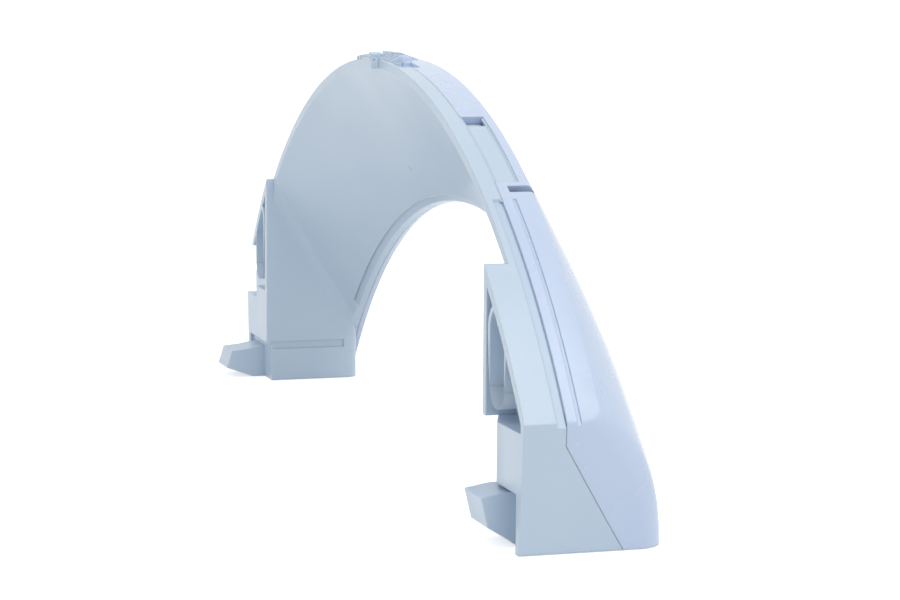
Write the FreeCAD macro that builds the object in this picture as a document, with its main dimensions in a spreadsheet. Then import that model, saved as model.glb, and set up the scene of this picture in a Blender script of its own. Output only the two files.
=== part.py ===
import FreeCAD, Part
import Sketcher
import math
import os

# Crescent door handle, millimetres.
# X runs along the chord, Y points to the door, Z is up. The origin is the middle of the base: on the plane the
# legs stand on, halfway along the chord and halfway from the front of the lip to the tips of the tongues.
# Every shape is first drawn with its depths counted forward, towards -Y, from the rear faces of the legs, and
# the finished pieces are then moved back by half the difference between the lip and the tongues.
#
# The grip is drawn on a family of circles. Share 0 is the rim circle and share 1 is the circle of the finger
# opening. Their centres differ, so the grip is widest at the top and narrows towards the legs.

doc = FreeCAD.newDocument("door_handle")
sheet = doc.addObject("Spreadsheet::Sheet", "Sizes")
sheet.Label = "driving dimensions"

sizes = {
    # half the chord at the base, height of the crown, depth from the rear faces of the legs to the lip
    "halfSpan": 136.8,
    "height": 101.0,
    "depth": 35.0,
    # width of the grip at the crown; where the two circles cross the base, measured from the ends
    "grip": 38.2,
    "rimBeyond": 19.53,
    "lipWithin": 11.2,
    # the band round the rim; the ring that crowns the face, as shares of the width at the crown and the base
    "rimFront": 17.9,
    "faceCrown": 0.8,
    "faceBase": 0.3,
    "faceDepth": 32.0,
    "lipRound": 1.6,
    # ends
    "endLean": 0.095,
    "endRound": 7.0,
    "rimRound": 1.6,
    "skirt": 6.0,
    "reach": 260.0,
    # wall, rear plate, and the joint between the two mouldings
    "wall": 2.2,
    "rimRear": 5.7,
    "landShare": 0.06,
    "splitDepth": 9.8,
    "splitShare": 0.12,
    "lipShare": 0.93,
    "pastLip": 1.03,
    "fit": 0.12,
    # shadow groove behind the joint and fine line in front of it, both from this far out
    "grooveFrom": 93.4,
    "grooveWidth": 2.4,
    "grooveDepth": 0.7,
    "lineDepth": 0.35,
    "lineWidth": 0.9,
    "lineStart": 12.2,
    # legs
    "legWidth": 26.2,
    "legBlend": 5.0,
    "toeStart": 18.0,
    "toeShort": 0.6,
    "toeRound": 4.0,
    # pocket and oval socket in the rear of each leg
    "pocketDepth": 7.2,
    "pocketFloor": 26.8,
    "socketInset": 16.4,
    "socketZ": 40.6,
    "socketWide": 10.4,
    "socketTall": 22.2,
    "socketDepth": 7.8,
    "collarWall": 1.3,
    # the heel below the socket: its underside on each side, its slanted inner corner, its rear wall
    "heelLeft": 13.2,
    "heelRight": 11.2,
    "heelInset": 15.8,
    "heelSlant": 3.8,
    "heelWall": 6.6,
    # the right leg stands back from the door, and its rim wall has a notch
    "standBack": 3.6,
    "standSlope": 0.035,
    "notchBottom": 23.4,
    "notchTop": 38.6,
    "notchInset": 11.0,
    # shallow groove across the inner wall of the right leg
    "wallGrooveLow": 9.4,
    "wallGrooveHigh": 11.6,
    "wallGrooveDepth": 0.5,
    "wallGrooveRear": 5.0,
    "wallGrooveFront": 27.5,
    # the tongues under the heels
    "tongueWide": 12.0,
    "tongueLeft": 9.8,
    "tongueRight": 17.3,
    "tongueReach": 6.5,
    "tongueSeat": 3.0,
    "rightSeat": 5.2,
    # clips through the band: angles from the crown, in degrees
    "clipFrom": 20.7,
    "clipArm": 22.2,
    "clipEnd": 30.9,
    "clipFront": 15.6,
    "clipGap": 0.3,
    "armSink": 0.4,
    "armThick": 3.0,
    "ledgeSink": 1.9,
    "slotFrom": 31.4,
    "slotTo": 32.2,
    "slotRear": 12.3,
    # hump, ribs, recess and toothed tab at the crown
    "humpRise": 1.8,
    "humpHalf": 7.0,
    "humpFlat": 2.0,
    "ribRise": 1.3,
    "ribLong": 3.0,
    "ribTurn": 0.25,
    "ribFrom": 1.8,
    "ribPitch": 0.7,
    "recessFrom": 4.0,
    "recessTo": 6.9,
    "recessSink": 0.9,
    "recessRear": 6.5,
    "recessFront": 12.0,
    "tabRear": 3.6,
    "tabHalf": 4.0,
    "tabRise": 0.3,
    "toothPitch": 1.35,
    "toothDepth": 0.6,
    "stopRear": 5.0,
    "stopFront": 8.0,
    "stopRise": 1.7,
}
derived = {
    "rimRadius": "((halfSpan + rimBeyond) ^ 2 + height ^ 2) / (2 * height)",
    "rimDrop": "rimRadius - height",
    "lipHeight": "height - grip",
    "lipRadius": "((halfSpan - lipWithin) ^ 2 + lipHeight ^ 2) / (2 * lipHeight)",
    "lipDrop": "lipRadius - lipHeight",
    "faceHeight": "height - grip * faceCrown",
    "faceReach": "halfSpan + rimBeyond - (rimBeyond + lipWithin) * faceBase",
    "faceRadius": "(faceReach ^ 2 + faceHeight ^ 2) / (2 * faceHeight)",
    "faceDrop": "faceRadius - faceHeight",
    "legInner": "halfSpan - legWidth",
    "toeFront": "depth - wall - toeShort",
    "armFront": "clipFront - clipGap",
    "socketX": "halfSpan - socketInset",
}
for row, (name, amount) in enumerate(sizes.items(), start=1):
    sheet.set("A%d" % row, name)
    sheet.set("B%d" % row, str(amount))
    sheet.setAlias("B%d" % row, name)
for row, (name, formula) in enumerate(derived.items(), start=len(sizes) + 1):
    sheet.set("A%d" % row, name)
    sheet.setAlias("B%d" % row, name)
    sheet.set("B%d" % row, "=" + formula)
doc.recompute()


def value(name):
    return float(sheet.get(name))


def size(text):
    # In an expression a size is written <name>
    return text.replace("<", "Sizes.").replace(">", "")


def ringRadius(share, inset="0"):
    if share == "face":
        return size("<faceRadius> - (%s)" % inset)
    return size("<rimRadius> + (<lipRadius> - <rimRadius>) * (%s) - (%s)" % (share, inset))


def ringDrop(share):
    if share == "face":
        return size("<faceDrop>")
    return size("<rimDrop> + (<lipDrop> - <rimDrop>) * (%s)" % share)


def newBody(name):
    return doc.addObject("PartDesign::Body", name)


def newSketch(body, name, offset, role="XZ_Plane"):
    # A sketch on the XZ plane faces the front, so its offset is a depth
    sketch = body.newObject("Sketcher::SketchObject", name)
    plane = [item for item in body.Origin.OriginFeatures if item.Role == role][0]
    sketch.AttachmentSupport = [(plane, "")]
    sketch.MapMode = "FlatFace"
    sketch.setExpression(".AttachmentOffset.Base.z", size(offset))
    return sketch


def bind(sketch, index, name, expression):
    sketch.renameConstraint(index, name)
    sketch.setExpression("Constraints." + name, size(expression))


def addRing(sketch, label, share, inset="0"):
    # One circle of the family, cut off below the base and closed there by a straight line
    circle = Part.Circle(FreeCAD.Vector(0, -80, 0), FreeCAD.Vector(0, 0, 1), 160)
    low = math.asin((80 - value("skirt")) / 160)
    bow = sketch.addGeometry(Part.ArcOfCircle(circle, low, math.pi - low))
    reach = 160 * math.cos(low)
    left = FreeCAD.Vector(-reach, -value("skirt"), 0)
    right = FreeCAD.Vector(reach, -value("skirt"), 0)
    chord = sketch.addGeometry(Part.LineSegment(left, right))
    sketch.addConstraint(Sketcher.Constraint("Coincident", bow, 2, chord, 1))
    sketch.addConstraint(Sketcher.Constraint("Coincident", chord, 2, bow, 1))
    sketch.addConstraint(Sketcher.Constraint("Horizontal", chord))
    sketch.addConstraint(Sketcher.Constraint("PointOnObject", bow, 3, -2))
    drop = sketch.addConstraint(Sketcher.Constraint("DistanceY", bow, 3, -1, 1, 80))
    bind(sketch, drop, label + "Drop", ringDrop(share))
    radius = sketch.addConstraint(Sketcher.Constraint("Radius", bow, 160))
    bind(sketch, radius, label + "Radius", ringRadius(share, inset))
    skirt = sketch.addConstraint(Sketcher.Constraint("DistanceY", chord, 1, -1, 1, value("skirt")))
    bind(sketch, skirt, label + "Skirt", "<skirt>")


def ringSketch(body, name, depth, share, inset="0"):
    sketch = newSketch(body, name, depth)
    addRing(sketch, "ring", share, inset)
    return sketch


def addOutline(sketch, label, corners):
    # A closed outline of straight lines; a corner is a pair of expressions
    count = len(corners)
    turn = 2 * math.pi / count
    spots = [FreeCAD.Vector(math.cos(turn * i), math.sin(turn * i), 0) * 50 for i in range(count)]
    lines = []
    for i in range(count):
        lines.append(sketch.addGeometry(Part.LineSegment(spots[i], spots[(i + 1) % count])))
    for i in range(count):
        after = lines[(i + 1) % count]
        sketch.addConstraint(Sketcher.Constraint("Coincident", lines[i], 2, after, 1))
    for i in range(count):
        for axis, text, start in zip("XY", corners[i], (spots[i].x, spots[i].y)):
            index = sketch.addConstraint(Sketcher.Constraint("Distance" + axis, -1, 1, lines[i], 1, start))
            bind(sketch, index, "%s%s%d" % (label, axis, i), text)


def mirrored(corners):
    # The same outline on the other leg
    return [("-(%s)" % x, z) for x, z in reversed(corners)]


def addOval(sketch, label, side, wall):
    # The outline of an upright oval socket: two straight sides and two round ends
    axis = FreeCAD.Vector(0, 0, 1)
    middle = FreeCAD.Vector(side * value("socketX"), value("socketZ"), 0)
    half = value("socketWide") / 2
    across = FreeCAD.Vector(half, 0, 0)
    rise = FreeCAD.Vector(0, value("socketTall") / 2 - half, 0)
    high = middle + rise
    low = middle - rise
    top = sketch.addGeometry(Part.ArcOfCircle(Part.Circle(high, axis, half), 0, math.pi))
    left = sketch.addGeometry(Part.LineSegment(high - across, low - across))
    bottom = sketch.addGeometry(Part.ArcOfCircle(Part.Circle(low, axis, half), math.pi, 2 * math.pi))
    right = sketch.addGeometry(Part.LineSegment(low + across, high + across))
    for before, after in ((top, left), (left, bottom), (bottom, right), (right, top)):
        sketch.addConstraint(Sketcher.Constraint("Tangent", before, 2, after, 1))
    radius = sketch.addConstraint(Sketcher.Constraint("Radius", top, half))
    bind(sketch, radius, label + "Radius", "<socketWide> / 2 + (%s)" % wall)
    sign = "" if side > 0 else "-"
    straight = "(<socketTall> - <socketWide>) / 2"
    placed = (("TopX", top, middle.x, sign + "<socketX>"), ("BottomX", bottom, middle.x, sign + "<socketX>"),
              ("TopY", top, high.y, "<socketZ> + " + straight), ("BottomY", bottom, low.y, "<socketZ> - " + straight))
    for place, arc, start, text in placed:
        index = sketch.addConstraint(Sketcher.Constraint("Distance" + place[-1], -1, 1, arc, 3, start))
        bind(sketch, index, label + place, text)


def pad(body, name, sketch, length):
    feature = body.newObject("PartDesign::Pad", name)
    feature.Profile = sketch
    feature.setExpression("Length", size(length))
    return feature


def pocket(body, name, sketch, length):
    # Cuts the same way as a pad would grow
    feature = body.newObject("PartDesign::Pocket", name)
    feature.Profile = sketch
    feature.Reversed = True
    feature.setExpression("Length", size(length))
    return feature


def loft(body, name, kind, sketches, ruled):
    feature = body.newObject("PartDesign::" + kind, name)
    feature.Profile = sketches[0]
    feature.Sections = sketches[1:]
    feature.Ruled = ruled
    return feature


def roundInBody(body, name, feature, radius, wanted):
    # Rounds the edges of a feature that the test picks
    doc.recompute()
    edges = ["Edge%d" % number for number, edge in enumerate(feature.Shape.Edges, start=1) if wanted(edge)]
    rounding = body.newObject("PartDesign::Fillet", name)
    rounding.Base = (feature, edges)
    rounding.setExpression("Radius", size(radius))
    return rounding


def roundShape(name, base, radius, wanted):
    doc.recompute()
    rounding = doc.addObject("Part::Fillet", name)
    rounding.Base = base
    picked = [number for number, edge in enumerate(base.Shape.Edges, start=1) if wanted(edge)]
    rounding.Edges = [(number, value(radius), value(radius)) for number in picked]
    return rounding


def combine(name, kind, first, second):
    feature = doc.addObject("Part::" + kind, name)
    feature.Base = first
    feature.Tool = second
    return feature


def unite(name, shapes):
    feature = doc.addObject("Part::MultiFuse", name)
    feature.Shapes = shapes
    return feature


# Shapes that both mouldings share

def rearForm(name, gap):
    # Everything behind the joint between the mouldings, out to the rim. The gap keeps it short of the joint.
    body = newBody(name)
    pad(body, name + "Disc", ringSketch(body, name + "DiscRing", "0", "0"), "<splitDepth> - %s" % gap)
    rings = [
        ringSketch(body, name + "ConeRear", "<splitDepth> - %s" % gap, "<splitShare>"),
        ringSketch(body, name + "ConeFront", lipDepth("<wall>") + " - %s" % gap, "<lipShare>"),
        ringSketch(body, name + "LipSeat", lipDepth("<wall>", "<pastLip>") + " - %s" % gap, "<pastLip>"),
    ]
    loft(body, name + "Cone", "AdditiveLoft", rings, True)
    return body


def lipDepth(behind, share="<lipShare>"):
    # Depth of the front face near the lip, less what lies in front
    return "<rimFront> + (<depth> - <rimFront>) * %s - %s" % (share, behind)


def outline(name, inset):
    # The two ends and the base seen from the front
    body = newBody(name)
    sketch = newSketch(body, name + "Sketch", "-<depth>")
    half = "<halfSpan> - %s" % inset
    top = "<halfSpan> - %s + <endLean> * <reach>" % inset
    corners = [("-(%s)" % half, inset), (half, inset), (top, "<reach>"), ("-(%s)" % top, "<reach>")]
    addOutline(sketch, "edge", corners)
    pad(body, name + "Pad", sketch, "3 * <depth>")
    return body


def opening():
    # The finger opening goes right through the cover, and its front edge is rounded in three facets
    body = newBody("Opening")
    pad(body, "OpeningPad", ringSketch(body, "OpeningRing", "-<depth>", "1"), "3 * <depth>")
    turns = (("1", "0"), ("0.293", "0.293"), ("0", "1"), ("-0.3", "1.3"))
    front = [ringSketch(body, "LipFront%d" % number, "<depth> - %s * <lipRound>" % along, "1", "-%s * <lipRound>" % out)
             for number, (along, out) in enumerate(turns)]
    loft(body, "LipFrontEdge", "AdditiveLoft", front, True)
    return body


def onCircle(radius, angle):
    # A point on a circle round the rim's centre; the angle counts from the crown towards +X
    return ("(%s) * sin((%s) * 1 deg)" % (radius, angle),
            "(%s) * cos((%s) * 1 deg) - <rimDrop>" % (radius, angle))


def sector(name, start, length, angles, radii, sides):
    # A block through the band between two angles
    body = newBody(name)
    sketch = newSketch(body, name + "Outline", start)
    for side in sides:
        corners = [onCircle(radius, "%s(%s)" % (side, angle)) for radius, angle in
                   ((radii[0], angles[0]), (radii[1], angles[0]), (radii[1], angles[1]), (radii[0], angles[1]))]
        addOutline(sketch, "left" if side else "right", corners)
    pad(body, name + "Pad", sketch, length)
    return body


def rimGroove(name, start, width, deep):
    # A shallow groove round the rim, outside the middle stretch
    body = newBody(name)
    pad(body, name + "Pad", ringSketch(body, name + "Outer", start, "0", "-2"), width)
    pocket(body, name + "Core", ringSketch(body, name + "Inner", start, "0", deep), width)
    middle = newSketch(body, name + "Middle", start)
    far = "<grooveFrom>"
    addOutline(middle, "edge", [("-" + far, "-<reach>"), (far, "-<reach>"), (far, "<reach>"), ("-" + far, "<reach>")])
    pocket(body, name + "MiddleCut", middle, width)
    return body


def crownRecess(name, start, length):
    # A shallow recess across the joint, left of the ribs
    return sector(name, start, length, ("<recessFrom>", "<recessTo>"), ("<rimRadius> - <recessSink>", "<rimRadius> + 3"),
                  ("-",))


# Front cover

def frontForm():
    # The cosmetic face: a band round the rim, then a crowned slope down to the lip
    body = newBody("FrontForm")
    band = ringSketch(body, "BandRing", "<splitDepth>", "0")
    pad(body, "Band", band, "<rimFront> - <splitDepth>")
    rings = [
        ringSketch(body, "SlopeRear", "<rimFront>", "0"),
        ringSketch(body, "SlopeMiddle", "<faceDepth>", "face"),
        ringSketch(body, "SlopeFront", "<depth>", "1"),
    ]
    loft(body, "Slope", "AdditiveLoft", rings, False)
    return body


def leansOut(point):
    # How far a point is from the nearer of the two leaning end planes
    return abs(abs(point.x) - value("halfSpan") - value("endLean") * point.z)


def onEndEdge(edge):
    # Where an end plane meets the crowned slope
    points = edge.discretize(9)
    band = -value("rimFront") + 0.01
    return max(map(leansOut, points)) < 0.02 and max(point.y for point in points) < band and edge.Length > 5


def onRimEdge(edge):
    # Where the band meets the crowned slope
    away = max(abs(point.y + value("rimFront")) for point in edge.discretize(9))
    return away < 0.02 and edge.Length > value("halfSpan")


def frontCavity():
    # The hollow behind the cosmetic face
    body = newBody("FrontCavity")
    band = ringSketch(body, "CavityBandRing", "-1", "0", "<wall>")
    pad(body, "CavityBand", band, "<rimFront> - <wall> + 1")
    rings = [
        ringSketch(body, "CavityRear", "<rimFront> - <wall>", "0", "<wall>"),
        ringSketch(body, "CavityMiddle", "<faceDepth> - <wall> * 1.3", "face"),
        ringSketch(body, "CavityFront", lipDepth("<wall>"), "<lipShare>"),
    ]
    loft(body, "CavityCone", "AdditiveLoft", rings, True)
    return body


def hump():
    # A low wedge on the band at the crown, with its high side at the joint
    body = newBody("Hump")
    sketch = newSketch(body, "HumpOutline", "-<humpHalf> / 2", "YZ_Plane")
    low = "<height> - 1"
    rear = "-(<splitDepth>)"
    front = "-(<rimFront>) + 1.5"
    addOutline(sketch, "edge", [(front, low), (rear, low), (rear, "<height> + <humpRise>"),
                                (rear + " - <humpFlat>", "<height> + <humpRise>"), (front, "<height> + 0.1")])
    pad(body, "HumpPad", sketch, "<humpHalf> * 1.5")
    return body


def ribs():
    # Three short ribs beside the hump
    body = newBody("Ribs")
    sketch = newSketch(body, "RibOutline", "<splitDepth>")
    low = "<rimRadius> - 1"
    high = "<rimRadius> + <ribRise>"
    for number in range(3):
        angle = "<ribFrom> + %d * <ribPitch>" % number
        spots = ((low, angle), (high, angle + " - <ribTurn>"), (high, angle), (low, angle + " + <ribTurn>"))
        addOutline(sketch, "rib%d" % number, [onCircle(radius, "-(%s)" % turn) for radius, turn in spots])
    pad(body, "RibPad", sketch, "<ribLong>")
    return body


def frontCover(trim, innerTrim, hole):
    blank = combine("FrontTrimmed", "Common", frontForm(), trim)
    ends = roundShape("FrontEnds", blank, "endRound", onEndEdge)
    rounded = roundShape("FrontRounded", ends, "rimRound", onRimEdge)
    raised = unite("FrontRaised", [rounded, hump(), ribs()])
    shell = combine("CoverOuter", "Cut", raised, rearForm("CoverRear", "0"))
    hollow = combine("CoverHollow", "Common", frontCavity(), innerTrim)
    band = ("<rimRadius> - <armThick> - <fit> * 4", "<rimRadius> + 3")
    clip = sector("ClipOpening", "<splitDepth> - 1", "<clipFront> - <splitDepth> + 1",
                  ("<clipFrom>", "<clipEnd>"), band, ("-", ""))
    slot = sector("Slot", "<slotRear>", "<rimFront> - <slotRear> + 1", ("<slotFrom>", "<slotTo>"), band, ("-", ""))
    recess = crownRecess("CoverRecess", "<splitDepth> - 1", "<recessFront> - <splitDepth> + 1")
    line = rimGroove("Line", "<lineStart>", "<lineWidth>", "<lineDepth>")
    cuts = unite("CoverCuts", [hollow, clip, slot, recess, line])
    opened = combine("CoverOpened", "Cut", shell, cuts)
    cover = combine("front_cover", "Cut", opened, hole)
    cover.Label = "front_cover"
    return cover


# Rear body

def betweenLegAndCone(edge):
    # An edge of the space tool where the side of a leg meets the rear surface of the grip
    box = edge.BoundBox
    return box.XLength < 0.01 and box.YLength > 5 and box.ZLength > 5


def rearSpace():
    # The open space behind the grip, between the two legs
    body = newBody("RearSpace")
    back = ringSketch(body, "SpaceBackRing", "-<depth>", "0", "-<wall>")
    pad(body, "SpaceBack", back, "<depth> + <rimRear>")
    rings = [
        ringSketch(body, "SpaceRear", "<rimRear>", "<landShare>"),
        ringSketch(body, "SpaceFront", lipDepth("2 * <wall>", "<pastLip>"), "<pastLip>"),
    ]
    loft(body, "SpaceCone", "AdditiveLoft", rings, True)
    cut = cutSides(body, "SpaceSides", "<legInner>")
    roundInBody(body, "SpaceBlend", cut, "<legBlend>", betweenLegAndCone)
    return body


def cutSides(body, name, inner):
    # Takes away everything further out than the given distance, on both sides
    sides = newSketch(body, name, "-<depth>")
    side = [(inner, "-<reach>"), ("<reach>", "-<reach>"), ("<reach>", "<reach>"), (inner, "<reach>")]
    addOutline(sides, "right", side)
    addOutline(sides, "left", mirrored(side))
    return pocket(body, name + "Cut", sides, "3 * <depth>")


def rearOpening():
    # The finger opening in the rear plate, between the legs
    body = newBody("RearOpening")
    pad(body, "RearOpeningPad", ringSketch(body, "RearOpeningRing", "0", "1"), "2 * <depth>")
    cutSides(body, "RearOpeningSides", "<legInner>")
    return body


def rearLipEdge():
    # The rear edge of the lip is rounded in three facets, short of the blends into the legs
    body = newBody("RearLipEdge")
    seat = lipDepth("2 * <wall>", "1")
    turns = (("1.2", "-0.2"), ("1", "0"), ("0.14", "0.22"), ("-0.45", "0.9"), ("-0.9", "1.4"))
    rings = [ringSketch(body, "LipRear%d" % number, seat + " + (%s) * <lipRound>" % along, "1", "-(%s) * <lipRound>" % out)
             for number, (along, out) in enumerate(turns)]
    loft(body, "RearLipLoft", "AdditiveLoft", rings, True)
    cutSides(body, "RearLipSides", "<legInner> - <legBlend>")
    return body


def legPlan(name, inset, start, low, high):
    # A leg seen from above, between two heights: its inner front corner is rounded
    body = newBody(name)
    inner = "<legInner> + %s" % inset
    front = "-(<toeFront>) + %s" % inset
    sketch = newSketch(body, name + "Outline", low, "XY_Plane")
    corners = [(inner, front), ("<halfSpan> - %s" % inset, front), ("<halfSpan> - %s" % inset, "-(%s)" % start),
               (inner, "-(%s)" % start)]
    addOutline(sketch, "right", corners)
    addOutline(sketch, "left", mirrored(corners))
    block = pad(body, name + "Pad", sketch, "%s - (%s)" % (high, low))
    roundInBody(body, name + "Corner", block, "<toeRound> - %s" % inset, onInnerFrontCorner)
    return body


def onInnerFrontCorner(edge):
    box = edge.BoundBox
    middle = (value("legInner") + value("halfSpan")) / 2
    return box.YLength < 0.01 and box.XLength < 0.01 and abs(box.XMin) < middle and box.YMin < -value("toeStart") - 1


def toes(name, shape):
    # Only what lies inside the finger opening
    disc = newBody(name + "Disc")
    pad(disc, name + "DiscPad", ringSketch(disc, name + "Ring", "<toeStart>", "1"), "<depth>")
    return combine(name, "Common", disc, shape)


def legBlocks():
    body = newBody("LegBlocks")
    sketch = newSketch(body, "LegBlockOutline", "-1", "XY_Plane")
    inner = "<legInner>"
    corners = [(inner, "-(<depth>)"), ("<reach>", "-(<depth>)"), ("<reach>", "-(<toeStart>)"), (inner, "-(<toeStart>)")]
    addOutline(sketch, "right", corners)
    addOutline(sketch, "left", mirrored(corners))
    pad(body, "LegBlockPad", sketch, "<height>")
    return body


def legPockets():
    # The hollow in the rear of each leg, inside the rim, the inner wall and the end wall
    disc = newBody("PocketDisc")
    pad(disc, "PocketDiscPad", ringSketch(disc, "PocketRing", "-1", "0", "<wall>"), "<pocketDepth> + 1")
    sides = newBody("PocketSides")
    sketch = newSketch(sides, "PocketOutline", "-2")
    top = "<halfSpan> - <wall> + <endLean> * <reach>"
    low = "<halfSpan> - <wall> + <endLean> * <pocketFloor>"
    inner = "<legInner> + <wall>"
    corners = [(inner, "<pocketFloor>"), (low, "<pocketFloor>"), (top, "<reach>"), (inner, "<reach>")]
    addOutline(sketch, "right", corners)
    addOutline(sketch, "left", mirrored(corners))
    pad(sides, "PocketSidesPad", sketch, "<pocketDepth> + <wall>")
    return combine("LegPockets", "Common", disc, sides)


def ovals(name, wall, start, length):
    body = newBody(name)
    sketch = newSketch(body, name + "Outline", start)
    addOval(sketch, "right", 1, wall)
    addOval(sketch, "left", -1, wall)
    pad(body, name + "Pad", sketch, length)
    return body


def withinRim(name, shape, inset):
    # The upper end of an oval stops at the rim wall
    disc = newBody(name + "Disc")
    pad(disc, name + "DiscPad", ringSketch(disc, name + "Ring", "-1", "0", inset), "<pocketDepth> + <wall> + 1")
    return combine(name, "Common", shape, disc)


def rearTrims():
    # The inner corner of the left heel slants away; the right leg stands back, with a notch in its rim wall
    body = newBody("RearTrims")
    edge = "-(<heelSlant>)"
    heel = "<halfSpan> - <heelInset>"
    slant = [("<legInner> - 1", edge), ("<legInner>", edge), (heel, "0"), (heel, "1"), ("<legInner> - 1", "1")]
    left = newSketch(body, "LeftCorner", "-1", "XY_Plane")
    addOutline(left, "left", mirrored(slant))
    pad(body, "LeftCornerPad", left, "<pocketFloor> + 1")
    right = newSketch(body, "RightBack", "-1", "XY_Plane")
    far = "<halfSpan> + <skirt>"
    back = [("<legInner> - 1", "-(<standBack>)"), (far, "-(<standBack>) - <standSlope> * <legWidth>"), (far, "1"),
            ("<legInner> - 1", "1")]
    addOutline(right, "right", back)
    pad(body, "RightBackPad", right, "<height>")
    notch = newSketch(body, "RightNotch", "-1")
    inner = "<halfSpan> - <notchInset>"
    corners = [(inner, "<notchBottom>"), (far, "<notchBottom>"), (far, "<notchTop>"), (inner, "<notchTop>")]
    addOutline(notch, "right", corners)
    pad(body, "RightNotchPad", notch, "<pocketDepth> + 1")
    return body


def tongueSeats():
    # Under the heel the rear face steps forward, except for the end wall
    body = newBody("TongueSeats")
    inner = "<legInner> - 1"
    outer = "<halfSpan> - <wall>"
    for side, top, deep in (("Right", "<heelRight>", "<rightSeat>"), ("Left", "<heelLeft>", "<tongueSeat>")):
        sketch = newSketch(body, side + "Seat", "-1")
        corners = [(inner, "-1"), (outer, "-1"), (outer, top), (inner, top)]
        addOutline(sketch, "edge", corners if side == "Right" else mirrored(corners))
        pad(body, side + "SeatPad", sketch, deep + " + 1")
    return body


def wallGroove():
    body = newBody("WallGroove")
    sketch = newSketch(body, "WallGrooveOutline", "<wallGrooveLow>", "XY_Plane")
    inner = "<legInner> - 1"
    outer = "<legInner> + <wallGrooveDepth>"
    corners = [(inner, "-(<wallGrooveFront>)"), (outer, "-(<wallGrooveFront>)"), (outer, "-(<wallGrooveRear>)"),
               (inner, "-(<wallGrooveRear>)")]
    addOutline(sketch, "edge", corners)
    pad(body, "WallGroovePad", sketch, "<wallGrooveHigh> - <wallGrooveLow>")
    return body


def tongues():
    # Wedges that reach back towards the door. The left one is thickest at its tip, the right one hooks down.
    body = newBody("Tongues")
    reach = "<tongueReach>"
    left = [("-(<tongueSeat>) - <fit>", "<heelLeft> - 1"), ("-(<tongueSeat>) - <fit>", "0.8"), ("-(<tongueSeat>) + 1", "0.8"),
            (reach + " - 2.6", "4.4"), (reach + " - 1", "11.2"), ("-0.5", "<heelLeft> - 1")]
    right = [("-(<rightSeat>) - <fit>", "<heelRight> - 1.8"), ("-(<rightSeat>) - <fit>", "0"), ("-1.5", "0"),
             (reach, "2.8"), (reach + " - 1.6", "7.9"), ("0", "8.4")]
    for side, offset, corners in (("Right", "<halfSpan> - <tongueRight>", right),
                                  ("Left", "-(<halfSpan>) + <tongueLeft>", left)):
        sketch = newSketch(body, side + "Tongue", offset, "YZ_Plane")
        addOutline(sketch, "edge", corners)
        pad(body, side + "TonguePad", sketch, "<tongueWide>")
    return body


def crownTab():
    # A small tab behind the rim at the crown, with teeth on one half and a stop on the other
    body = newBody("CrownTab")
    sketch = newSketch(body, "TabOutline", "<tabRear>")
    low = "<height> - <wall>"
    top = "<height> + <tabRise>"
    addOutline(sketch, "edge", [("-<tabHalf>", low), ("<tabHalf>", low), ("<tabHalf>", top), ("-<tabHalf>", top)])
    pad(body, "TabPad", sketch, "<splitDepth> - <tabRear> - 2 * <fit>")
    stop = newSketch(body, "StopOutline", "<stopRear>")
    high = "<height> + <stopRise>"
    addOutline(stop, "edge", [("<tabHalf> * 0.15", low), ("<tabHalf>", low), ("<tabHalf>", high + " - 0.8"),
                              ("<tabHalf> * 0.6", high), ("<tabHalf> * 0.15", high + " - 0.4")])
    pad(body, "StopPad", stop, "<stopFront> - <stopRear>")
    for number in range(4):
        start = "<tabRear> + <toothPitch> * (%d + 0.4)" % number
        gap = newSketch(body, "ToothGap%d" % number, start)
        low = top + " - <toothDepth>"
        addOutline(gap, "edge", [("-<tabHalf> - 1", low), ("0", low), ("0", top + " + 2"), ("-<tabHalf> - 1", top + " + 2")])
        pocket(body, "ToothCut%d" % number, gap, "<toothPitch> / 2")
    return body


def clipArms():
    # Arms that reach forward through the openings in the band and lie a little below its surface
    reach = "<armFront> - <splitDepth> + 2 * <fit> + 1"
    blocks = sector("ArmBlocks", "<splitDepth> - 2 * <fit> - 1", reach, ("<clipFrom> + 0.1", "<clipEnd> - 0.1"),
                    ("<rimRadius> - <armThick>", "<rimRadius> + 3"), ("-", ""))
    disc = newBody("ArmDisc")
    pad(disc, "ArmDiscPad", ringSketch(disc, "ArmRing", "0", "0", "<armSink>"), "<depth>")
    arms = combine("ArmsFlush", "Common", blocks, disc)
    ledge = sector("ArmLedge", "<splitDepth> - <fit>", "<depth>", ("<clipFrom> - 1", "<clipArm>"),
                   ("<rimRadius> - <ledgeSink>", "<rimRadius> + 3"), ("-", ""))
    return combine("ClipArms", "Cut", arms, ledge)


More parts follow.
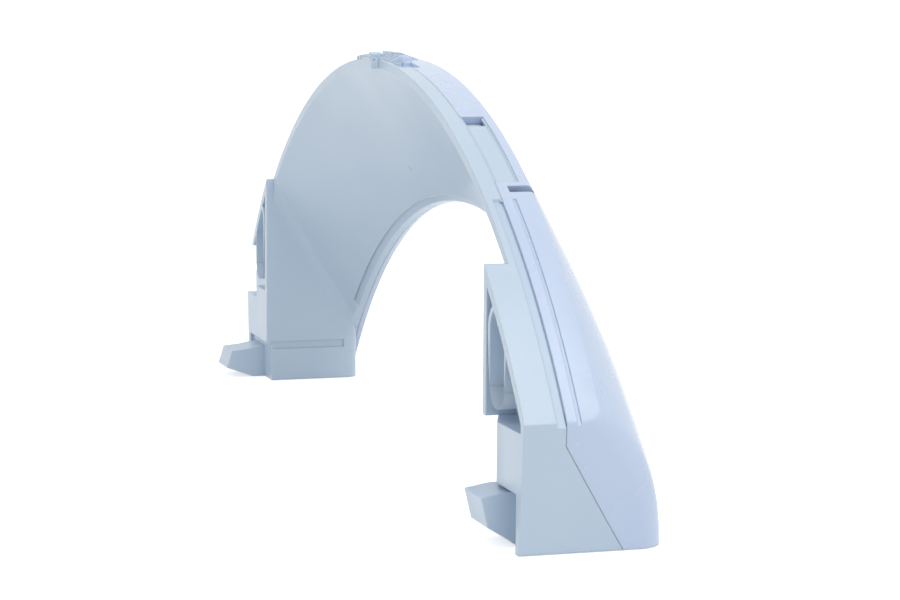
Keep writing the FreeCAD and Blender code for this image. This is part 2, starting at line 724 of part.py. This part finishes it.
def rearBody(trim):
    solid = combine("RearSolid", "Common", rearForm("RearFront", "<fit>"), trim)
    space = unite("RearSpaces", [rearSpace(), rearOpening(), rearLipEdge()])
    plate = combine("RearPlate", "Cut", solid, space)
    opened = combine("RearOpened", "Cut", plate, toes("ToeRoom", legBlocks()))
    filled = unite("RearToes", [opened, toes("Toes", legPlan("ToePlan", "0", "<toeStart>", "0", "<pocketFloor>"))])
    cores = legPlan("LegCores", "<wall>", "<heelWall>", "<wall>", "<notchBottom> - <wall>")
    groove = rimGroove("Groove", "<splitDepth> - <grooveWidth>", "<grooveWidth> + 1", "<grooveDepth>")
    recess = crownRecess("RearRecess", "<recessRear>", "<splitDepth>")
    cuts = unite("RearCuts", [legPockets(), cores, tongueSeats(), groove, recess, wallGroove()])
    cut = combine("RearPocketed", "Cut", filled, cuts)
    collars = withinRim("Collars", ovals("CollarOvals", "<collarWall>", "0", "<pocketDepth> + <fit>"), "0")
    raised = unite("RearRaised", [cut, collars, clipArms(), crownTab()])
    sockets = withinRim("Sockets", ovals("SocketOvals", "0", "-1", "<socketDepth> + 1"), "<wall>")
    pierced = combine("RearPierced", "Cut", raised, unite("RearHoles", [sockets, rearTrims()]))
    body = unite("rear_body", [pierced, tongues()])
    body.Label = "rear_body"
    return body


trim = outline("Trim", "0")
innerTrim = outline("InnerTrim", "<wall>")
hole = opening()
parts = [frontCover(trim, innerTrim, hole), rearBody(trim)]
doc.recompute()

for item in parts:
    item.setExpression(".Placement.Base.y", size("(<depth> - <tongueReach>) / 2"))
doc.recompute()

for item in doc.Objects:
    if "Invalid" in item.State or "Error" in item.State:
        raise RuntimeError("%s failed: %s" % (item.Name, item.State))
os.makedirs("parts", exist_ok=True)
for item in parts:
    shape = item.Shape
    if shape.isNull() or not shape.isValid():
        raise RuntimeError("%s has no valid shape" % item.Label)
    box = shape.BoundBox
    print(item.Label, len(shape.Solids), round(shape.Volume), [round(v, 1) for v in
          (box.XMin, box.XMax, box.YMin, box.YMax, box.ZMin, box.ZMax)])
    shape.exportStep("parts/%s.step" % item.Label)
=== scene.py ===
import bpy
import bmesh
import math
from mathutils import Matrix, Vector


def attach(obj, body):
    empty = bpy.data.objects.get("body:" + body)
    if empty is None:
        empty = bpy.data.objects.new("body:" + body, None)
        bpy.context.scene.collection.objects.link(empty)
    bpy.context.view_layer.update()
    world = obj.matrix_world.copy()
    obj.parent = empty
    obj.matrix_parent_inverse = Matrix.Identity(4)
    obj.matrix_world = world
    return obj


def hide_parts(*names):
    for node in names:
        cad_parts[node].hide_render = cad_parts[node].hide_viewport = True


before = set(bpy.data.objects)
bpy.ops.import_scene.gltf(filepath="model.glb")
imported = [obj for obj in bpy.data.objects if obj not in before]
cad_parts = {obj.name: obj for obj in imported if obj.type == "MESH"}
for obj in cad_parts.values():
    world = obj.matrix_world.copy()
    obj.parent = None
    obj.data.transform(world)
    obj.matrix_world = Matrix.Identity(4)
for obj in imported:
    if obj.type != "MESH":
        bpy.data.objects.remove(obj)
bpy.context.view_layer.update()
print("frame loaded:", ", ".join(sorted(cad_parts)))

mm = 0.001
sameSpot = 0.002 * mm       # corners nearer than this are one corner
crease = 28                 # degrees; a sharper edge stays sharp

# Two mouldings of the same white plastic. The rear one is a little greyer and less glossy.
coverLook = {
    "slot": "cover_plastic",
    "colour": (0.597, 0.701, 0.879, 1),
    "deep": (0.53, 0.62, 0.83, 1),        # painted shade in gaps and corners, and the colour of dust specks
    "wornAndHighlit": (0.74, 0.81, 0.93, 1),        # paler edges: wear along rubbed edges and a painted edge highlight
    "roughness": 0.26,
    "peel": 0.08,
    "edgeRadius": 0.40,                   # mm
    "seed": 3.0,
}
bodyLook = {
    "slot": "body_plastic",
    "colour": (0.575, 0.690, 0.810, 1),
    # next: painted shade in gaps and corners, and the colour of dust specks
    "deep": (0.51, 0.61, 0.76, 1),
    # next: paler edges, partly wear and partly a painted edge highlight
    "wornAndHighlit": (0.70, 0.79, 0.88, 1),
    "roughness": 0.32,
    "peel": 0.12,
    "edgeRadius": 0.45,
    "seed": 11.0,
}
# What both share: pairs are the limits between which a mark fades in, scales are per metre
surface = {
    "edge": (0.965, 0.88),                # agreement of the rounded normal with the plain one
    "gapReach": 3.0,                      # mm
    # painted shade: ambient occlusion levels between which the painted gap shade fades in
    "gap": (0.62, 0.16),
    "standing": (0.45, 0.70),             # openness, so that edges inside a gap get neither wear nor the painted highlight
    "patchScale": 140, "patch": (0.35, 0.62), "patchLeast": 0.25,
    "driftScale": 16, "drift": (0.30, 0.70), "driftTint": (0.95, 0.965, 0.985),
    "flowScale": 90, "flow": (0.42, 0.66), "flowMost": 0.30, "flowTint": (0.93, 0.95, 0.98),
    "flowStretch": (0.35, 1.0, 1.0),
    "speckScale": 900, "speck": (0.78, 0.84), "speckMost": 0.08,
    "smearScale": 45, "smear": (0.30, 0.70), "glossier": 0.05, "duller": 0.09,
    "waveScale": 55, "waveStrength": 0.30, "waveHeight": 0.10,      # sink marks, height in mm
    "peelScale": 700, "peelHeight": 0.02,                           # orange peel, height in mm
    "ior": 1.49,
    "subsurface": 0.22, "subsurfaceRadius": (1.0, 0.9, 0.8), "subsurfaceDepth": 1.2,
}


def addNode(tree, kind, place, **values):
    node = tree.nodes.new(kind)
    node.location = place
    for key, value in values.items():
        setattr(node, key, value)
    return node


def ramp(tree, source, place, low, high, toLow=0.0, toHigh=1.0):
    # Spreads a value between two limits and clamps it
    node = addNode(tree, "ShaderNodeMapRange", place)
    for socket, value in (("From Min", low), ("From Max", high), ("To Min", toLow), ("To Max", toHigh)):
        node.inputs[socket].default_value = value
    tree.links.new(source, node.inputs["Value"])
    return node.outputs["Result"]


def blend(tree, factor, first, second, place):
    # Mixes two colours; either one may be a plain colour or another node's output
    node = addNode(tree, "ShaderNodeMix", place, data_type="RGBA")
    tree.links.new(factor, node.inputs[0])
    for socket, colour in ((6, first), (7, second)):
        if isinstance(colour, tuple):
            node.inputs[socket].default_value = colour
        else:
            tree.links.new(colour, node.inputs[socket])
    return node.outputs[2]


def noise(tree, where, place, scale, detail, seed):
    node = addNode(tree, "ShaderNodeTexNoise", place, noise_dimensions="4D")
    node.inputs["W"].default_value = seed
    node.inputs["Scale"].default_value = scale
    node.inputs["Detail"].default_value = detail
    tree.links.new(where, node.inputs["Vector"])
    return node.outputs["Fac"]


def times(tree, first, second, place):
    node = addNode(tree, "ShaderNodeMath", place, operation="MULTIPLY")
    tree.links.new(first, node.inputs[0])
    tree.links.new(second, node.inputs[1])
    return node.outputs["Value"]


def tinted(colour, tint):
    return tuple(part * share for part, share in zip(colour, tint)) + (1,)


def makePlastic(name, look):
    material = bpy.data.materials.new(name)
    material.use_nodes = True
    tree = material.node_tree
    tree.nodes.clear()
    links = tree.links
    seed = look["seed"]
    out = addNode(tree, "ShaderNodeOutputMaterial", (1100, 0))
    shader = addNode(tree, "ShaderNodeBsdfPrincipled", (800, 0))
    links.new(shader.outputs["BSDF"], out.inputs["Surface"])
    where = addNode(tree, "ShaderNodeTexCoord", (-1400, 0)).outputs["Object"]

    # soft edges: the rounded normal also shows where edges are, for wear and the painted edge highlight
    soft = addNode(tree, "ShaderNodeBevel", (-1400, -500), samples=6)
    soft.inputs["Radius"].default_value = look["edgeRadius"] * mm
    plain = addNode(tree, "ShaderNodeNewGeometry", (-1400, -700))
    match = addNode(tree, "ShaderNodeVectorMath", (-1150, -600), operation="DOT_PRODUCT")
    links.new(soft.outputs["Normal"], match.inputs[0])
    links.new(plain.outputs["Normal"], match.inputs[1])
    onEdge = ramp(tree, match.outputs["Value"], (-950, -600), *surface["edge"])
    hollow = addNode(tree, "ShaderNodeAmbientOcclusion", (-1150, -850), samples=8)
    hollow.inputs["Distance"].default_value = surface["gapReach"] * mm
    # painted shade: a mask from ambient occlusion, darker in gaps and corners
    paintedGapShade = ramp(tree, hollow.outputs["AO"], (-950, -850), *surface["gap"])
    standing = ramp(tree, hollow.outputs["AO"], (-950, -1050), *surface["standing"])
    patches = noise(tree, where, (-1150, -1150), surface["patchScale"], 3, seed)
    patchy = ramp(tree, patches, (-950, -1250), *surface["patch"], surface["patchLeast"])
    rubbedAndHighlit = times(tree, times(tree, onEdge, standing, (-700, -700)), patchy, (-500, -700))

    # colour: slow drift of tone, flow marks, faint dust, painted shade in gaps and corners, paler edges that are
    # partly rubbed wear and partly a painted highlight
    colour = look["colour"][:3]
    slow = noise(tree, where, (-1150, 500), surface["driftScale"], 3, seed)
    drift = ramp(tree, slow, (-950, 500), *surface["drift"])
    tone = blend(tree, drift, tinted(colour, surface["driftTint"]), look["colour"], (-700, 500))
    stretch = addNode(tree, "ShaderNodeMapping", (-1350, 250))
    stretch.inputs["Scale"].default_value = surface["flowStretch"]
    links.new(where, stretch.inputs["Vector"])
    streaks = noise(tree, stretch.outputs["Vector"], (-1150, 250), surface["flowScale"], 4, seed + 1)
    flow = ramp(tree, streaks, (-950, 250), *surface["flow"], 0.0, surface["flowMost"])
    tone = blend(tree, flow, tone, tinted(colour, surface["flowTint"]), (-500, 400))
    dust = noise(tree, where, (-1150, 0), surface["speckScale"], 1, seed + 2)
    specks = ramp(tree, dust, (-950, 0), *surface["speck"], 0.0, surface["speckMost"])
    tone = blend(tree, specks, tone, look["deep"], (-300, 300))
    # painted shade: gaps and corners get the darker colour, from ambient occlusion
    tone = blend(tree, paintedGapShade, tone, look["deep"], (-100, 200))
    # paler open edges: partly rubbed wear, partly a painted edge highlight
    tone = blend(tree, rubbedAndHighlit, tone, look["wornAndHighlit"], (100, 100))
    links.new(tone, shader.inputs["Base Color"])

    # gloss: duller where it is handled
    hands = noise(tree, where, (-700, 0), surface["smearScale"], 5, seed + 4)
    smear = ramp(tree, hands, (-500, 0), *surface["smear"],
                 look["roughness"] - surface["glossier"], look["roughness"] + surface["duller"])
    links.new(smear, shader.inputs["Roughness"])
    shader.inputs["IOR"].default_value = surface["ior"]
    # a little light passes through thin edges
    shader.inputs["Subsurface Weight"].default_value = surface["subsurface"]
    shader.inputs["Subsurface Radius"].default_value = surface["subsurfaceRadius"]
    shader.inputs["Subsurface Scale"].default_value = surface["subsurfaceDepth"] * mm

    # bump: sink marks and orange peel
    wave = noise(tree, where, (-300, -300), surface["waveScale"], 2, seed + 5)
    peel = noise(tree, where, (-300, -500), surface["peelScale"], 2, seed + 6)
    normal = soft.outputs["Normal"]
    for place, source, strength, height in (
            ((100, -300), wave, surface["waveStrength"], surface["waveHeight"]),
            ((300, -400), peel, look["peel"], surface["peelHeight"])):
        bump = addNode(tree, "ShaderNodeBump", place)
        bump.inputs["Strength"].default_value = strength
        bump.inputs["Distance"].default_value = height * mm
        links.new(source, bump.inputs["Height"])
        links.new(normal, bump.inputs["Normal"])
        normal = bump.outputs["Normal"]
    links.new(normal, shader.inputs["Normal"])
    return material


def smoothCopy(node, name, material):
    # A copy of the node with merged corners and smooth curves stands in for it
    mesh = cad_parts[node].data.copy()
    work = bmesh.new()
    work.from_mesh(mesh)
    bmesh.ops.remove_doubles(work, verts=work.verts, dist=sameSpot)
    bmesh.ops.dissolve_degenerate(work, dist=sameSpot, edges=work.edges)
    for face in work.faces:
        face.smooth = True
    for edge in work.edges:
        edge.smooth = edge.is_manifold and edge.calc_face_angle(0) < math.radians(crease)
    work.to_mesh(mesh)
    work.free()
    mesh.name = name
    piece = bpy.data.objects.new(name, mesh)
    bpy.context.scene.collection.objects.link(piece)
    mesh.materials.clear()
    mesh.materials.append(material)
    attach(piece, "root")
    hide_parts(node)


def newTree(name, inputs):
    # A new tree with its named inputs
    tree = bpy.data.node_groups.new(name, "GeometryNodeTree")
    tree.interface.new_socket("Geometry", in_out="INPUT", socket_type="NodeSocketGeometry")
    tree.interface.new_socket("Geometry", in_out="OUTPUT", socket_type="NodeSocketGeometry")
    for label, kind in inputs:
        tree.interface.new_socket(label, in_out="INPUT", socket_type="NodeSocket" + kind)
    start = addNode(tree, "NodeGroupInput", (-900, 0))
    end = addNode(tree, "NodeGroupOutput", (1300, 0))
    return tree, start, end


def join(tree, node, place, **inputs):
    # Adds a node and feeds its inputs from other nodes' outputs or plain values
    made = addNode(tree, node, place)
    for socket, value in inputs.items():
        key = made.inputs[socket.replace("_", " ")]
        if isinstance(value, bpy.types.NodeSocket):
            tree.links.new(value, key)
        else:
            key.default_value = value
    return made


def maths(tree, operation, first, second, place):
    node = addNode(tree, "ShaderNodeMath", place, operation=operation)
    for index, value in enumerate((first, second)):
        if isinstance(value, bpy.types.NodeSocket):
            tree.links.new(value, node.inputs[index])
        else:
            node.inputs[index].default_value = value
    return node.outputs["Value"]


def finishTree(tree, start, geometry, end):
    # Every tree ends in Realize Instances and Set Material
    realize = addNode(tree, "GeometryNodeRealizeInstances", (900, 0))
    tree.links.new(geometry, realize.inputs["Geometry"])
    paint = addNode(tree, "GeometryNodeSetMaterial", (1100, 0))
    tree.links.new(realize.outputs["Geometry"], paint.inputs["Geometry"])
    tree.links.new(start.outputs["Material"], paint.inputs["Material"])
    tree.links.new(paint.outputs["Geometry"], end.inputs["Geometry"])
    return tree


def makeStripTree():
    # A bar with a rectangular section that follows an upright circle round the rim's centre
    tree, start, end = newTree("arcStrip", (
        ("Radius", "Float"), ("From", "Float"), ("To", "Float"), ("Centre Height", "Float"), ("Depth", "Float"),
        ("Width", "Float"), ("Thickness", "Float"), ("Steps", "Int"), ("Material", "Material")))
    given = start.outputs
    turn = maths(tree, "SUBTRACT", given["To"], given["From"], (-700, 300))
    opening = maths(tree, "SUBTRACT", math.pi / 2, given["To"], (-700, 450))
    arc = addNode(tree, "GeometryNodeCurveArc", (-450, 300), mode="RADIUS")
    tree.links.new(given["Steps"], arc.inputs["Resolution"])
    tree.links.new(given["Radius"], arc.inputs["Radius"])
    tree.links.new(opening, arc.inputs["Start Angle"])
    tree.links.new(turn, arc.inputs["Sweep Angle"])
    section = join(tree, "GeometryNodeCurvePrimitiveQuadrilateral", (-450, 0), Width=given["Thickness"],
                   Height=given["Width"])
    swept = join(tree, "GeometryNodeCurveToMesh", (-200, 200), Curve=arc.outputs["Curve"],
                 Profile_Curve=section.outputs["Curve"], Fill_Caps=True)
    place = join(tree, "ShaderNodeCombineXYZ", (-200, -150), Y=given["Depth"], Z=given["Centre Height"])
    upright = join(tree, "GeometryNodeTransform", (100, 200), Geometry=swept.outputs["Mesh"],
                   Translation=place.outputs["Vector"], Rotation=(math.pi / 2, 0, 0))
    return finishTree(tree, start, upright.outputs["Geometry"], end)


def makeRibTree():
    # A row of short ribs that stand on the rim and follow it.
    # A slope makes wedges of them, highest at the front.
    tree, start, end = newTree("ribRow", (
        ("Count", "Int"), ("Radius", "Float"), ("Centre Height", "Float"), ("First", "Float"), ("Pitch", "Float"),
        ("Depth", "Float"), ("Size", "Vector"), ("Slope", "Float"), ("Material", "Material")))
    given = start.outputs
    row = join(tree, "GeometryNodeMeshLine", (-700, 200), Count=given["Count"])
    number = addNode(tree, "GeometryNodeInputIndex", (-900, 400)).outputs["Index"]
    angle = maths(tree, "MULTIPLY_ADD", number, given["Pitch"], (-700, 500))
    tree.links.new(given["First"], angle.node.inputs[2])
    sine = maths(tree, "SINE", angle, 0.0, (-500, 600))
    cosine = maths(tree, "COSINE", angle, 0.0, (-500, 450))
    across = maths(tree, "MULTIPLY", sine, given["Radius"], (-300, 600))
    lift = maths(tree, "MULTIPLY_ADD", cosine, given["Radius"], (-300, 450))
    tree.links.new(given["Centre Height"], lift.node.inputs[2])
    spot = join(tree, "ShaderNodeCombineXYZ", (-100, 450), X=across, Y=given["Depth"], Z=lift)
    placed = join(tree, "GeometryNodeSetPosition", (100, 200), Geometry=row.outputs["Mesh"],
                  Position=spot.outputs["Vector"])
    lean = join(tree, "ShaderNodeCombineXYZ", (-100, 0), Y=angle)

    # the block: its upper corners move by its height times the slope, up at the front and down at the rear
    block = join(tree, "GeometryNodeMeshCube", (-500, -200), Size=given["Size"])
    position = addNode(tree, "GeometryNodeInputPosition", (-900, -400)).outputs["Position"]
    corner = join(tree, "ShaderNodeSeparateXYZ", (-700, -400), Vector=position)
    sides = join(tree, "ShaderNodeSeparateXYZ", (-700, -550), Vector=given["Size"])
    halfHeight = maths(tree, "MAXIMUM", corner.outputs["Z"], 0.0, (-500, -400))
    halfDepth = maths(tree, "DIVIDE", corner.outputs["Y"], sides.outputs["Y"], (-500, -550))
    both = maths(tree, "MULTIPLY", given["Slope"], -4.0, (-500, -700))      # two halves, and +Y is the rear
    steep = maths(tree, "MULTIPLY", halfDepth, both, (-300, -600))
    rise = join(tree, "ShaderNodeCombineXYZ", (-50, -450),
                Z=maths(tree, "MULTIPLY", halfHeight, steep, (-200, -500)))
    wedge = join(tree, "GeometryNodeSetPosition", (100, -200), Geometry=block.outputs["Mesh"],
                 Offset=rise.outputs["Vector"])
    ribs = join(tree, "GeometryNodeInstanceOnPoints", (350, 0), Points=placed.outputs["Geometry"],
                Instance=wedge.outputs["Geometry"], Rotation=lean.outputs["Vector"])
    return finishTree(tree, start, ribs.outputs["Instances"], end)


def fromTree(name, tree, values):
    # Runs a tree with its named inputs and keeps the result as a plain mesh
    start = bpy.data.meshes.new("start")
    piece = bpy.data.objects.new(name, start)
    bpy.context.scene.collection.objects.link(piece)
    modifier = piece.modifiers.new("shape", "NODES")
    modifier.node_group = tree
    for item in tree.interface.items_tree:
        if item.item_type == "SOCKET" and item.in_out == "INPUT" and item.name in values:
            modifier[item.identifier] = values[item.name]
    made = bpy.data.meshes.new_from_object(piece.evaluated_get(bpy.context.evaluated_depsgraph_get()))
    made.name = name
    piece.modifiers.clear()
    piece.data = made
    bpy.data.meshes.remove(start)
    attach(piece, "root")


coverMaterial = makePlastic("coverPlastic", coverLook)
bodyMaterial = makePlastic("bodyPlastic", bodyLook)
smoothCopy("front_cover", "frontCover", coverMaterial)
smoothCopy("rear_body", "rearBody", bodyMaterial)
print("mouldings made")

# Everything below lies along the rim, as the frame has it. Lengths are in mm, and angles in degrees from the
# crown, positive towards +X. Depths are along Y.
rim = {"radius": 171.49, "centre": -70.49, "joint": 4.51}


def addStrip(name, radius, first, last, depth, width, thickness):
    values = {"Radius": radius * mm, "From": math.radians(first), "To": math.radians(last),
              "Centre Height": rim["centre"] * mm, "Depth": depth * mm, "Width": width * mm,
              "Thickness": thickness * mm, "Steps": max(8, int(abs(last - first))), "Material": bodyMaterial}
    fromTree(name, stripTree, values)


def addRibs(name, row):
    radius = rim["radius"] + row["size"][2] / 2 - row["sink"]
    values = {"Count": row["count"], "Radius": radius * mm, "Centre Height": rim["centre"] * mm,
              "First": math.radians(row["first"]), "Pitch": math.radians(row["pitch"]), "Depth": row["depth"] * mm,
              "Size": tuple(side * mm for side in row["size"]), "Slope": row["slope"], "Material": bodyMaterial}
    fromTree(name, ribTree, values)


stripTree = makeStripTree()
ribTree = makeRibTree()

# The locating lip of the rear moulding closes the joint from inside, a little below the surface.
# It stops at the recess beside the crown, and lies deeper where the joint runs in a groove.
jointLip = {"width": 0.9, "thickness": 0.6, "below": 0.10, "belowInGroove": 0.78, "recess": (-6.95, -3.95),
            "groove": 33.3, "end": 53.6}
lipRadius = rim["radius"] - jointLip["below"] - jointLip["thickness"] / 2
grooveRadius = rim["radius"] - jointLip["belowInGroove"] - jointLip["thickness"] / 2
for name, radius, first, last in (
        ("jointLipMiddleLeft", lipRadius, -jointLip["groove"], jointLip["recess"][0]),
        ("jointLipMiddleRight", lipRadius, jointLip["recess"][1], jointLip["groove"]),
        ("jointLipLeft", grooveRadius, -jointLip["end"], -jointLip["groove"]),
        ("jointLipRight", grooveRadius, jointLip["groove"], jointLip["end"])):
    addStrip(name, radius, first, last, rim["joint"], jointLip["width"], jointLip["thickness"])

# The same lip in the gap beside the front edge of each clip arm
clipLip = {"from": 20.8, "to": 30.8, "depth": -1.20, "width": 0.7, "thickness": 0.6, "below": 0.30}
clipRadius = rim["radius"] - clipLip["below"] - clipLip["thickness"] / 2
for name, first, last in (("clipLipLeft", -clipLip["to"], -clipLip["from"]),
                          ("clipLipRight", clipLip["from"], clipLip["to"])):
    addStrip(name, clipRadius, first, last, clipLip["depth"], clipLip["width"], clipLip["thickness"])

# A low wall along the rear edge of the crown, with teeth on its rear side
wall = {"from": 1.4, "to": 6.1, "depth": 7.0, "width": 0.8, "height": 1.1, "sink": 0.2}
addStrip("crownWall", rim["radius"] + wall["height"] / 2 - wall["sink"], wall["from"], wall["to"], wall["depth"],
         wall["width"], wall["height"])
teeth = {"count": 6, "first": 1.65, "pitch": 0.82, "size": (1.2, 1.1, 1.3), "depth": 7.9, "sink": 0.25,
         "slope": 0.15}
addRibs("crownTeeth", teeth)

# Ribs that rise from the rear edge to the joint, beside the hump
gussets = {"count": 4, "first": -0.75, "pitch": -0.95, "size": (0.75, 3.6, 1.0), "depth": 6.25, "sink": 0.10,
           "slope": 0.8}
addRibs("crownGussets", gussets)
print("joint lips, teeth and ribs made")

studio = {
    "floorColour": (0.80, 0.81, 0.82, 1),
    "floorGlow": 0.62,          # what the camera sees on top of the lit floor
    "ambient": 0.68,
    "backdrop": 1.0,            # what the camera and reflections see behind the object
    "keyPlace": (-0.75, -0.35, 1.5),
    "keySize": 0.9,
    "keyPower": 7.8,
    "topPlace": (-0.2, 0.9, 1.4),
    "topSize": 1.4,
    "topPower": 2.6,
    "aim": (0, 0, 0.05),
    "floorHalf": 12,
    "floorBelow": 0.2 * mm,
}


def seenDirectly(tree, place):
    # 1 for what the camera, a reflection or glass shows, 0 for light that falls on surfaces
    path = addNode(tree, "ShaderNodeLightPath", place)
    total = path.outputs["Is Camera Ray"]
    for step, ray in enumerate(("Is Glossy Ray", "Is Transmission Ray")):
        more = addNode(tree, "ShaderNodeMath", (place[0] + 200 * (step + 1), place[1]), operation="MAXIMUM")
        tree.links.new(total, more.inputs[0])
        tree.links.new(path.outputs[ray], more.inputs[1])
        total = more.outputs["Value"]
    return total


def makeFloor():
    mesh = bpy.data.meshes.new("floor")
    work = bmesh.new()
    bmesh.ops.create_grid(work, x_segments=1, y_segments=1, size=studio["floorHalf"])
    work.to_mesh(mesh)
    work.free()
    floor = bpy.data.objects.new("floor", mesh)
    floor.location = (0, 0, -studio["floorBelow"])
    bpy.context.scene.collection.objects.link(floor)
    material = bpy.data.materials.new("floor")
    material.use_nodes = True
    tree = material.node_tree
    shader = tree.nodes["Principled BSDF"]
    shader.inputs["Base Color"].default_value = studio["floorColour"]
    shader.inputs["Roughness"].default_value = 0.95
    shader.inputs["Emission Color"].default_value = (1, 1, 1, 1)
    glow = addNode(tree, "ShaderNodeMath", (-200, -300), operation="MULTIPLY")
    tree.links.new(seenDirectly(tree, (-800, -300)), glow.inputs[0])
    glow.inputs[1].default_value = studio["floorGlow"]
    tree.links.new(glow.outputs["Value"], shader.inputs["Emission Strength"])
    mesh.materials.append(material)


def makeWorld():
    world = bpy.data.worlds.new("studio")
    bpy.context.scene.world = world
    world.use_nodes = True
    tree = world.node_tree
    back = tree.nodes["Background"]
    back.inputs["Color"].default_value = (1, 1, 1, 1)
    level = ramp(tree, seenDirectly(tree, (-800, 0)), (-200, 0), 0, 1, studio["ambient"], studio["backdrop"])
    tree.links.new(level, back.inputs["Strength"])


def addLamp(name):
    place = Vector(studio[name + "Place"])
    data = bpy.data.lights.new(name, "AREA")
    data.size = studio[name + "Size"]
    data.energy = studio[name + "Power"]
    lamp = bpy.data.objects.new(name, data)
    lamp.location = place
    lamp.rotation_mode = "QUATERNION"
    lamp.rotation_quaternion = (Vector(studio["aim"]) - place).to_track_quat("-Z", "Y")
    bpy.context.scene.collection.objects.link(lamp)


# Fitted to the photograph: it looks along the chord, a little from above and behind
view = {
    "sensor": 36,
    "lens": 112,
    "azimuth": -107.22,
    "rise": 7.58,
    "place": (-0.6977, 0.1893, 0.1346),
    "tilt": -0.46,              # degrees about the chord, to level the object in the picture
    "shift": (0, 0.0143, 0),
}


def makeCamera():
    data = bpy.data.cameras.new("camera")
    data.sensor_width = view["sensor"]
    data.lens = view["lens"]
    azimuth = math.radians(view["azimuth"])
    rise = math.radians(view["rise"])
    back = Vector((math.sin(azimuth) * math.cos(rise), -math.cos(azimuth) * math.cos(rise), math.sin(rise)))
    turn = (-back).to_track_quat("-Z", "Y").to_matrix().to_4x4()
    fitted = Matrix.Translation(view["place"]) @ turn
    level = Matrix.Rotation(math.radians(view["tilt"]), 4, "X")
    camera = bpy.data.objects.new("camera", data)
    camera.matrix_world = Matrix.Translation(view["shift"]) @ level @ fitted
    bpy.context.scene.collection.objects.link(camera)
    bpy.context.scene.camera = camera


makeFloor()
makeWorld()
addLamp("key")
addLamp("top")
makeCamera()
bpy.context.scene.view_settings.view_transform = "Standard"
print("studio set")
